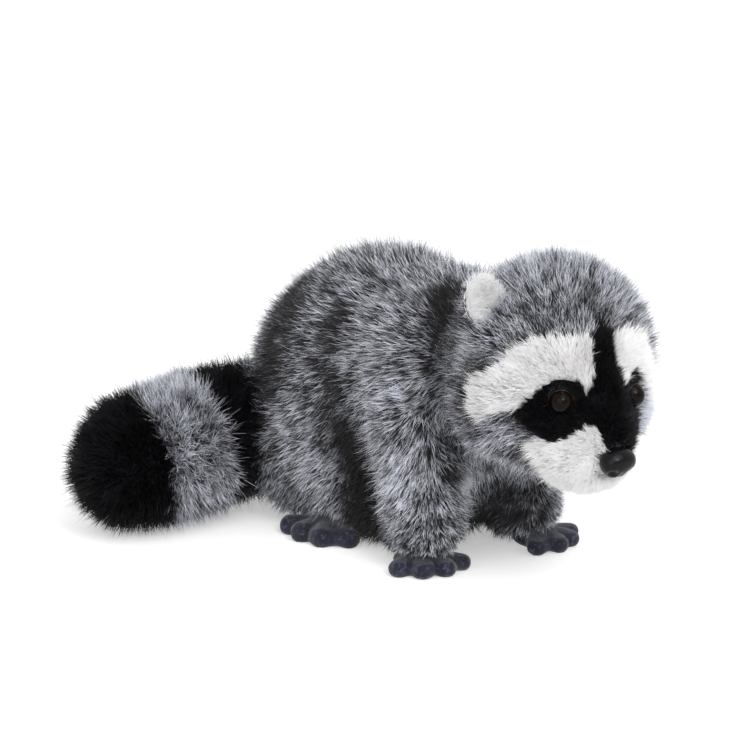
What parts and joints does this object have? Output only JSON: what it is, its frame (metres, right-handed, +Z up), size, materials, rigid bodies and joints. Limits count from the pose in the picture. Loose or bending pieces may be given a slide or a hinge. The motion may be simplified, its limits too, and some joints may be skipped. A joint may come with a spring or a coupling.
{
  "type": "plush raccoon",
  "caption": "Soft stuffed raccoon on bent legs, lowered masked face, rounded ears, suede paws and a thick banded tail curled to its right side.",
  "frame": {"origin": "on the floor below the middle of the part's bounding box", "axes": "+Z up, -Y the way the animal faces, -X its right side, to which the tail curls"},
  "size_m": [0.233, 0.303, 0.1688],
  "materials": {
    "grey_fur": "long pile, near black roots and light bluish grey tips",
    "light_fur": "long pile, light lilac grey tips",
    "white_pile": "short dense off-white pile",
    "black_pile": "dense black pile",
    "suede": "dark blue-grey suede cloth with stitched toes",
    "eye": "glossy dark brown dome",
    "nose": "semi-gloss black"
  },
  "bodies": {
    "root": {"body": "grey_fur", "head": "grey_fur", "foreleg_right": "grey_fur", "foreleg_left": "grey_fur", "haunch_right": "grey_fur", "haunch_left": "grey_fur", "ear_back_right": "grey_fur", "ear_back_left": "grey_fur", "ear_front_right": "white_pile", "ear_front_left": "white_pile", "brow_right": "white_pile", "brow_left": "white_pile", "muzzle": "white_pile", "mask": "black_pile", "tail_base": "black_pile", "tail_tip": "black_pile", "tail_ring": "light_fur", "front_paw_right": "suede", "front_paw_left": "suede", "hind_paw_right": "suede", "hind_paw_left": "suede", "eye_right": "eye", "eye_left": "eye", "nose": "nose"}
  },
  "joints": []
}
